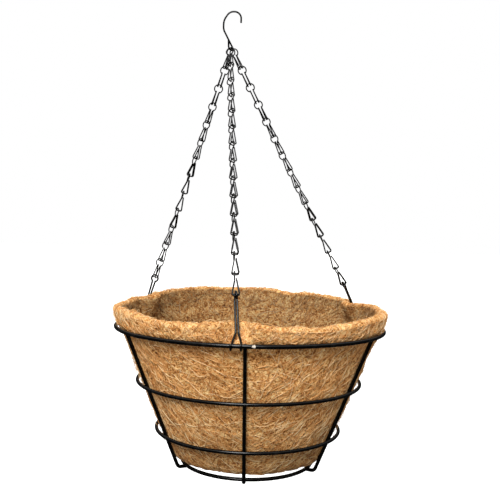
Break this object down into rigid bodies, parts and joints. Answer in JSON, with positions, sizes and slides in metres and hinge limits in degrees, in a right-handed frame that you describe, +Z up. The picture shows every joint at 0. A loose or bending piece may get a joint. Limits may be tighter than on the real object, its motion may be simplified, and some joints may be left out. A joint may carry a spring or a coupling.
{
  "type": "hanging basket",
  "caption": "Round conical hanging basket of welded black wire with a coconut-fibre liner, hung by chains of bent-wire links from one open hook.",
  "frame": {"origin": "inside top of the hook's crook, where it bears on its support", "axes": "+Z up; the front chain and the front rib face -Y; +X to the right seen from the front"},
  "size_m": [0.35, 0.353, 0.5916],
  "materials": {
    "black_wire": "gloss",
    "chain_wire": "gloss",
    "coir": "matt felted fibre"
  },
  "bodies": {
    "hook": {"hook": "black_wire"},
    "basket_frame": {"rim_ring": "black_wire", "upper_hoop": "black_wire", "lower_hoop": "black_wire", "base_ring": "black_wire", "rib_1": "black_wire", "rib_2": "black_wire", "rib_3": "black_wire", "rib_4": "black_wire", "rib_5": "black_wire", "rib_6": "black_wire"},
    "liner": {"coir_liner": "coir"},
    "front_chain_link_01": {"front_chain_link_01": "chain_wire"},
    "front_chain_link_02": {"front_chain_link_02": "chain_wire"},
    "front_chain_link_03": {"front_chain_link_03": "chain_wire"},
    "front_chain_link_04": {"front_chain_link_04": "chain_wire"},
    "front_chain_link_05": {"front_chain_link_05": "chain_wire"},
    "front_chain_link_06": {"front_chain_link_06": "chain_wire"},
    "front_chain_link_07": {"front_chain_link_07": "chain_wire"},
    "front_chain_link_08": {"front_chain_link_08": "chain_wire"},
    "front_chain_link_09": {"front_chain_link_09": "chain_wire"},
    "front_chain_link_10": {"front_chain_link_10": "chain_wire"},
    "front_chain_link_11": {"front_chain_link_11": "chain_wire"},
    "front_chain_link_12": {"front_chain_link_12": "chain_wire"},
    "front_chain_link_13": {"front_chain_link_13": "chain_wire"},
    "front_chain_link_14": {"front_chain_link_14": "chain_wire"},
    "front_clip": {"front_clip": "black_wire"},
    "left_chain_link_01": {"left_chain_link_01": "chain_wire"},
    "left_chain_link_02": {"left_chain_link_02": "chain_wire"},
    "left_chain_link_03": {"left_chain_link_03": "chain_wire"},
    "left_chain_link_04": {"left_chain_link_04": "chain_wire"},
    "left_chain_link_05": {"left_chain_link_05": "chain_wire"},
    "left_chain_link_06": {"left_chain_link_06": "chain_wire"},
    "left_chain_link_07": {"left_chain_link_07": "chain_wire"},
    "left_chain_link_08": {"left_chain_link_08": "chain_wire"},
    "left_chain_link_09": {"left_chain_link_09": "chain_wire"},
    "left_chain_link_10": {"left_chain_link_10": "chain_wire"},
    "left_chain_link_11": {"left_chain_link_11": "chain_wire"},
    "left_chain_link_12": {"left_chain_link_12": "chain_wire"},
    "left_chain_link_13": {"left_chain_link_13": "chain_wire"},
    "left_clip": {"left_clip": "black_wire"},
    "right_chain_link_01": {"right_chain_link_01": "chain_wire"},
    "right_chain_link_02": {"right_chain_link_02": "chain_wire"},
    "right_chain_link_03": {"right_chain_link_03": "chain_wire"},
    "right_chain_link_04": {"right_chain_link_04": "chain_wire"},
    "right_chain_link_05": {"right_chain_link_05": "chain_wire"},
    "right_chain_link_06": {"right_chain_link_06": "chain_wire"},
    "right_chain_link_07": {"right_chain_link_07": "chain_wire"},
    "right_chain_link_08": {"right_chain_link_08": "chain_wire"},
    "right_chain_link_09": {"right_chain_link_09": "chain_wire"},
    "right_chain_link_10": {"right_chain_link_10": "chain_wire"},
    "right_chain_link_11": {"right_chain_link_11": "chain_wire"},
    "right_chain_link_12": {"right_chain_link_12": "chain_wire"},
    "right_chain_link_13": {"right_chain_link_13": "chain_wire"},
    "right_chain_link_14": {"right_chain_link_14": "chain_wire"},
    "right_clip": {"right_clip": "black_wire"}
  },
  "joints": [
    {"name": "basket_swing", "type": "hinge", "parent": "hook", "child": "basket_frame", "pos_m": [-0.0022, 0, -0.05005], "axis": [-0.454, -0.891, 0], "range_deg": [-25, 25]},
    {"name": "liner_lift", "type": "slide", "parent": "basket_frame", "child": "liner", "axis": [0, 0, 1], "range_m": [0, 0.008]},
    {"name": "front_chain_fold_01", "type": "hinge", "parent": "basket_frame", "child": "front_chain_link_01", "pos_m": [-0.00438, -0.00429, -0.05005], "axis": [0.9941, 0.1086, 0], "range_deg": [0, 4]},
    {"name": "front_chain_fold_02", "type": "hinge", "parent": "front_chain_link_01", "child": "front_chain_link_02", "pos_m": [-0.00303, -0.01664, -0.07343], "axis": [0.9941, 0.1086, 0], "range_deg": [-0.53304, 0]},
    {"name": "front_chain_fold_03", "type": "hinge", "parent": "front_chain_link_02", "child": "front_chain_link_03", "pos_m": [-0.00174, -0.0285, -0.09587], "axis": [0.9941, 0.1086, 0], "range_deg": [-0.53304, 0]},
    {"name": "front_chain_fold_04", "type": "hinge", "parent": "front_chain_link_03", "child": "front_chain_link_04", "pos_m": [-0.00044, -0.04036, -0.11832], "axis": [0.9941, 0.1086, 0], "range_deg": [-0.53304, 0]},
    {"name": "front_chain_fold_05", "type": "hinge", "parent": "front_chain_link_04", "child": "front_chain_link_05", "pos_m": [0.00085, -0.05222, -0.14076], "axis": [0.9941, 0.1086, 0], "range_deg": [-0.53304, 0]},
    {"name": "front_chain_fold_06", "type": "hinge", "parent": "front_chain_link_05", "child": "front_chain_link_06", "pos_m": [0.00215, -0.06407, -0.1632], "axis": [0.9941, 0.1086, 0], "range_deg": [-0.53304, 0]},
    {"name": "front_chain_fold_07", "type": "hinge", "parent": "front_chain_link_06", "child": "front_chain_link_07", "pos_m": [0.00345, -0.07592, -0.18563], "axis": [0.9941, 0.1086, 0], "range_deg": [-0.53304, 0]},
    {"name": "front_chain_fold_08", "type": "hinge", "parent": "front_chain_link_07", "child": "front_chain_link_08", "pos_m": [0.00474, -0.08776, -0.20803], "axis": [0.9941, 0.1086, 0], "range_deg": [-0.53304, 0]},
    {"name": "front_chain_fold_09", "type": "hinge", "parent": "front_chain_link_08", "child": "front_chain_link_09", "pos_m": [0.00603, -0.09959, -0.23042], "axis": [0.9941, 0.1086, 0], "range_deg": [-0.53304, 0]},
    {"name": "front_chain_fold_10", "type": "hinge", "parent": "front_chain_link_09", "child": "front_chain_link_10", "pos_m": [0.00732, -0.11141, -0.25278], "axis": [0.9941, 0.1086, 0], "range_deg": [-0.53304, 0]},
    {"name": "front_chain_fold_11", "type": "hinge", "parent": "front_chain_link_10", "child": "front_chain_link_11", "pos_m": [0.00861, -0.12321, -0.27511], "axis": [0.9941, 0.1086, 0], "range_deg": [-0.53304, 0]},
    {"name": "front_chain_fold_12", "type": "hinge", "parent": "front_chain_link_11", "child": "front_chain_link_12", "pos_m": [0.0099, -0.13499, -0.29741], "axis": [0.9941, 0.1086, 0], "range_deg": [-0.53304, 0]},
    {"name": "front_chain_fold_13", "type": "hinge", "parent": "front_chain_link_12", "child": "front_chain_link_13", "pos_m": [0.01119, -0.14675, -0.31968], "axis": [0.9941, 0.1086, 0], "range_deg": [-0.53304, 0]},
    {"name": "front_chain_fold_14", "type": "hinge", "parent": "front_chain_link_13", "child": "front_chain_link_14", "pos_m": [0.01247, -0.1585, -0.34191], "axis": [0.9941, 0.1086, 0], "range_deg": [-0.53304, 0]},
    {"name": "front_clip_tilt", "type": "hinge", "parent": "front_chain_link_14", "child": "front_clip", "pos_m": [0.01368, -0.16957, -0.36286], "axis": [0.9941, 0.1086, 0], "range_deg": [-0.53304, 0]},
    {"name": "left_chain_fold_01", "type": "hinge", "parent": "basket_frame", "child": "left_chain_link_01", "pos_m": [-0.0022, 0, -0.05005], "axis": [-0.4071, -0.9134, 0], "range_deg": [0, 4]},
    {"name": "left_chain_fold_02", "type": "hinge", "parent": "left_chain_link_01", "child": "left_chain_link_02", "pos_m": [-0.01081, 0.00384, -0.07614], "axis": [-0.4071, -0.9134, 0], "range_deg": [-0.56964, 0]},
    {"name": "left_chain_fold_03", "type": "hinge", "parent": "left_chain_link_02", "child": "left_chain_link_03", "pos_m": [-0.01845, 0.00724, -0.0993], "axis": [-0.4071, -0.9134, 0], "range_deg": [-0.56964, 0]},
    {"name": "left_chain_fold_04", "type": "hinge", "parent": "left_chain_link_03", "child": "left_chain_link_04", "pos_m": [-0.02607, 0.01064, -0.12238], "axis": [-0.4071, -0.9134, 0], "range_deg": [-0.56964, 0]},
    {"name": "left_chain_fold_05", "type": "hinge", "parent": "left_chain_link_04", "child": "left_chain_link_05", "pos_m": [-0.03371, 0.01405, -0.14554], "axis": [-0.4071, -0.9134, 0], "range_deg": [-0.56964, 0]},
    {"name": "left_chain_fold_06", "type": "hinge", "parent": "left_chain_link_05", "child": "left_chain_link_06", "pos_m": [-0.04142, 0.01748, -0.16892], "axis": [-0.4071, -0.9134, 0], "range_deg": [-0.56964, 0]},
    {"name": "left_chain_fold_07", "type": "hinge", "parent": "left_chain_link_06", "child": "left_chain_link_07", "pos_m": [-0.04924, 0.02097, -0.19258], "axis": [-0.4071, -0.9134, 0], "range_deg": [-0.56964, 0]},
    {"name": "left_chain_fold_08", "type": "hinge", "parent": "left_chain_link_07", "child": "left_chain_link_08", "pos_m": [-0.05715, 0.02449, -0.21656], "axis": [-0.4071, -0.9134, 0], "range_deg": [-0.56964, 0]},
    {"name": "left_chain_fold_09", "type": "hinge", "parent": "left_chain_link_08", "child": "left_chain_link_09", "pos_m": [-0.06513, 0.02805, -0.24076], "axis": [-0.4071, -0.9134, 0], "range_deg": [-0.56964, 0]},
    {"name": "left_chain_fold_10", "type": "hinge", "parent": "left_chain_link_09", "child": "left_chain_link_10", "pos_m": [-0.07316, 0.03163, -0.26508], "axis": [-0.4071, -0.9134, 0], "range_deg": [-0.56964, 0]},
    {"name": "left_chain_fold_11", "type": "hinge", "parent": "left_chain_link_10", "child": "left_chain_link_11", "pos_m": [-0.08117, 0.0352, -0.28935], "axis": [-0.4071, -0.9134, 0], "range_deg": [-0.56964, 0]},
    {"name": "left_chain_fold_12", "type": "hinge", "parent": "left_chain_link_11", "child": "left_chain_link_12", "pos_m": [-0.08911, 0.03874, -0.31343], "axis": [-0.4071, -0.9134, 0], "range_deg": [-0.56964, 0]},
    {"name": "left_chain_fold_13", "type": "hinge", "parent": "left_chain_link_12", "child": "left_chain_link_13", "pos_m": [-0.09697, 0.04224, -0.33723], "axis": [-0.4071, -0.9134, 0], "range_deg": [-0.56964, 0]},
    {"name": "left_clip_tilt", "type": "hinge", "parent": "left_chain_link_13", "child": "left_clip", "pos_m": [-0.10433, 0.04552, -0.35953], "axis": [-0.4071, -0.9134, 0], "range_deg": [-0.56964, 0]},
    {"name": "right_chain_fold_01", "type": "hinge", "parent": "basket_frame", "child": "right_chain_link_01", "pos_m": [-0.00052, 0.0033, -0.05005], "axis": [-0.2317, 0.9728, 0], "range_deg": [0, 4]},
    {"name": "right_chain_fold_02", "type": "hinge", "parent": "right_chain_link_01", "child": "right_chain_link_02", "pos_m": [0.01215, 0.00632, -0.07456], "axis": [-0.2317, 0.9728, 0], "range_deg": [-0.53184, 0]},
    {"name": "right_chain_fold_03", "type": "hinge", "parent": "right_chain_link_02", "child": "right_chain_link_03", "pos_m": [0.02377, 0.00908, -0.09703], "axis": [-0.2317, 0.9728, 0], "range_deg": [-0.53184, 0]},
    {"name": "right_chain_fold_04", "type": "hinge", "parent": "right_chain_link_03", "child": "right_chain_link_04", "pos_m": [0.03534, 0.01184, -0.1194], "axis": [-0.2317, 0.9728, 0], "range_deg": [-0.53184, 0]},
    {"name": "right_chain_fold_05", "type": "hinge", "parent": "right_chain_link_04", "child": "right_chain_link_05", "pos_m": [0.04684, 0.01458, -0.14165], "axis": [-0.2317, 0.9728, 0], "range_deg": [-0.53184, 0]},
    {"name": "right_chain_fold_06", "type": "hinge", "parent": "right_chain_link_05", "child": "right_chain_link_06", "pos_m": [0.05829, 0.01731, -0.16379], "axis": [-0.2317, 0.9728, 0], "range_deg": [-0.53184, 0]},
    {"name": "right_chain_fold_07", "type": "hinge", "parent": "right_chain_link_06", "child": "right_chain_link_07", "pos_m": [0.06968, 0.02002, -0.18582], "axis": [-0.2317, 0.9728, 0], "range_deg": [-0.53184, 0]},
    {"name": "right_chain_fold_08", "type": "hinge", "parent": "right_chain_link_07", "child": "right_chain_link_08", "pos_m": [0.08104, 0.02272, -0.20778], "axis": [-0.2317, 0.9728, 0], "range_deg": [-0.53184, 0]},
    {"name": "right_chain_fold_09", "type": "hinge", "parent": "right_chain_link_08", "child": "right_chain_link_09", "pos_m": [0.09236, 0.02542, -0.22968], "axis": [-0.2317, 0.9728, 0], "range_deg": [-0.53184, 0]},
    {"name": "right_chain_fold_10", "type": "hinge", "parent": "right_chain_link_09", "child": "right_chain_link_10", "pos_m": [0.10368, 0.02812, -0.25157], "axis": [-0.2317, 0.9728, 0], "range_deg": [-0.53184, 0]},
    {"name": "right_chain_fold_11", "type": "hinge", "parent": "right_chain_link_10", "child": "right_chain_link_11", "pos_m": [0.11501, 0.03082, -0.27347], "axis": [-0.2317, 0.9728, 0], "range_deg": [-0.53184, 0]},
    {"name": "right_chain_fold_12", "type": "hinge", "parent": "right_chain_link_11", "child": "right_chain_link_12", "pos_m": [0.12636, 0.03352, -0.29543], "axis": [-0.2317, 0.9728, 0], "range_deg": [-0.53184, 0]},
    {"name": "right_chain_fold_13", "type": "hinge", "parent": "right_chain_link_12", "child": "right_chain_link_13", "pos_m": [0.13776, 0.03624, -0.31748], "axis": [-0.2317, 0.9728, 0], "range_deg": [-0.53184, 0]},
    {"name": "right_chain_fold_14", "type": "hinge", "parent": "right_chain_link_13", "child": "right_chain_link_14", "pos_m": [0.14921, 0.03896, -0.33962], "axis": [-0.2317, 0.9728, 0], "range_deg": [-0.53184, 0]},
    {"name": "right_clip_tilt", "type": "hinge", "parent": "right_chain_link_14", "child": "right_clip", "pos_m": [0.16071, 0.0417, -0.36187], "axis": [-0.2317, 0.9728, 0], "range_deg": [-0.53184, 0]}
  ],
  "couplings": [
    {"joint": "front_chain_fold_02", "follows": "front_chain_fold_01", "ratio": -0.13326},
    {"joint": "front_chain_fold_03", "follows": "front_chain_fold_01", "ratio": -0.13326},
    {"joint": "front_chain_fold_04", "follows": "front_chain_fold_01", "ratio": -0.13326},
    {"joint": "front_chain_fold_05", "follows": "front_chain_fold_01", "ratio": -0.13326},
    {"joint": "front_chain_fold_06", "follows": "front_chain_fold_01", "ratio": -0.13326},
    {"joint": "front_chain_fold_07", "follows": "front_chain_fold_01", "ratio": -0.13326},
    {"joint": "front_chain_fold_08", "follows": "front_chain_fold_01", "ratio": -0.13326},
    {"joint": "front_chain_fold_09", "follows": "front_chain_fold_01", "ratio": -0.13326},
    {"joint": "front_chain_fold_10", "follows": "front_chain_fold_01", "ratio": -0.13326},
    {"joint": "front_chain_fold_11", "follows": "front_chain_fold_01", "ratio": -0.13326},
    {"joint": "front_chain_fold_12", "follows": "front_chain_fold_01", "ratio": -0.13326},
    {"joint": "front_chain_fold_13", "follows": "front_chain_fold_01", "ratio": -0.13326},
    {"joint": "front_chain_fold_14", "follows": "front_chain_fold_01", "ratio": -0.13326},
    {"joint": "front_clip_tilt", "follows": "front_chain_fold_01", "ratio": -0.13326},
    {"joint": "left_chain_fold_02", "follows": "left_chain_fold_01", "ratio": -0.14241},
    {"joint": "left_chain_fold_03", "follows": "left_chain_fold_01", "ratio": -0.14241},
    {"joint": "left_chain_fold_04", "follows": "left_chain_fold_01", "ratio": -0.14241},
    {"joint": "left_chain_fold_05", "follows": "left_chain_fold_01", "ratio": -0.14241},
    {"joint": "left_chain_fold_06", "follows": "left_chain_fold_01", "ratio": -0.14241},
    {"joint": "left_chain_fold_07", "follows": "left_chain_fold_01", "ratio": -0.14241},
    {"joint": "left_chain_fold_08", "follows": "left_chain_fold_01", "ratio": -0.14241},
    {"joint": "left_chain_fold_09", "follows": "left_chain_fold_01", "ratio": -0.14241},
    {"joint": "left_chain_fold_10", "follows": "left_chain_fold_01", "ratio": -0.14241},
    {"joint": "left_chain_fold_11", "follows": "left_chain_fold_01", "ratio": -0.14241},
    {"joint": "left_chain_fold_12", "follows": "left_chain_fold_01", "ratio": -0.14241},
    {"joint": "left_chain_fold_13", "follows": "left_chain_fold_01", "ratio": -0.14241},
    {"joint": "left_clip_tilt", "follows": "left_chain_fold_01", "ratio": -0.14241},
    {"joint": "right_chain_fold_02", "follows": "right_chain_fold_01", "ratio": -0.13296},
    {"joint": "right_chain_fold_03", "follows": "right_chain_fold_01", "ratio": -0.13296},
    {"joint": "right_chain_fold_04", "follows": "right_chain_fold_01", "ratio": -0.13296},
    {"joint": "right_chain_fold_05", "follows": "right_chain_fold_01", "ratio": -0.13296},
    {"joint": "right_chain_fold_06", "follows": "right_chain_fold_01", "ratio": -0.13296},
    {"joint": "right_chain_fold_07", "follows": "right_chain_fold_01", "ratio": -0.13296},
    {"joint": "right_chain_fold_08", "follows": "right_chain_fold_01", "ratio": -0.13296},
    {"joint": "right_chain_fold_09", "follows": "right_chain_fold_01", "ratio": -0.13296},
    {"joint": "right_chain_fold_10", "follows": "right_chain_fold_01", "ratio": -0.13296},
    {"joint": "right_chain_fold_11", "follows": "right_chain_fold_01", "ratio": -0.13296},
    {"joint": "right_chain_fold_12", "follows": "right_chain_fold_01", "ratio": -0.13296},
    {"joint": "right_chain_fold_13", "follows": "right_chain_fold_01", "ratio": -0.13296},
    {"joint": "right_chain_fold_14", "follows": "right_chain_fold_01", "ratio": -0.13296},
    {"joint": "right_clip_tilt", "follows": "right_chain_fold_01", "ratio": -0.13296}
  ]
}
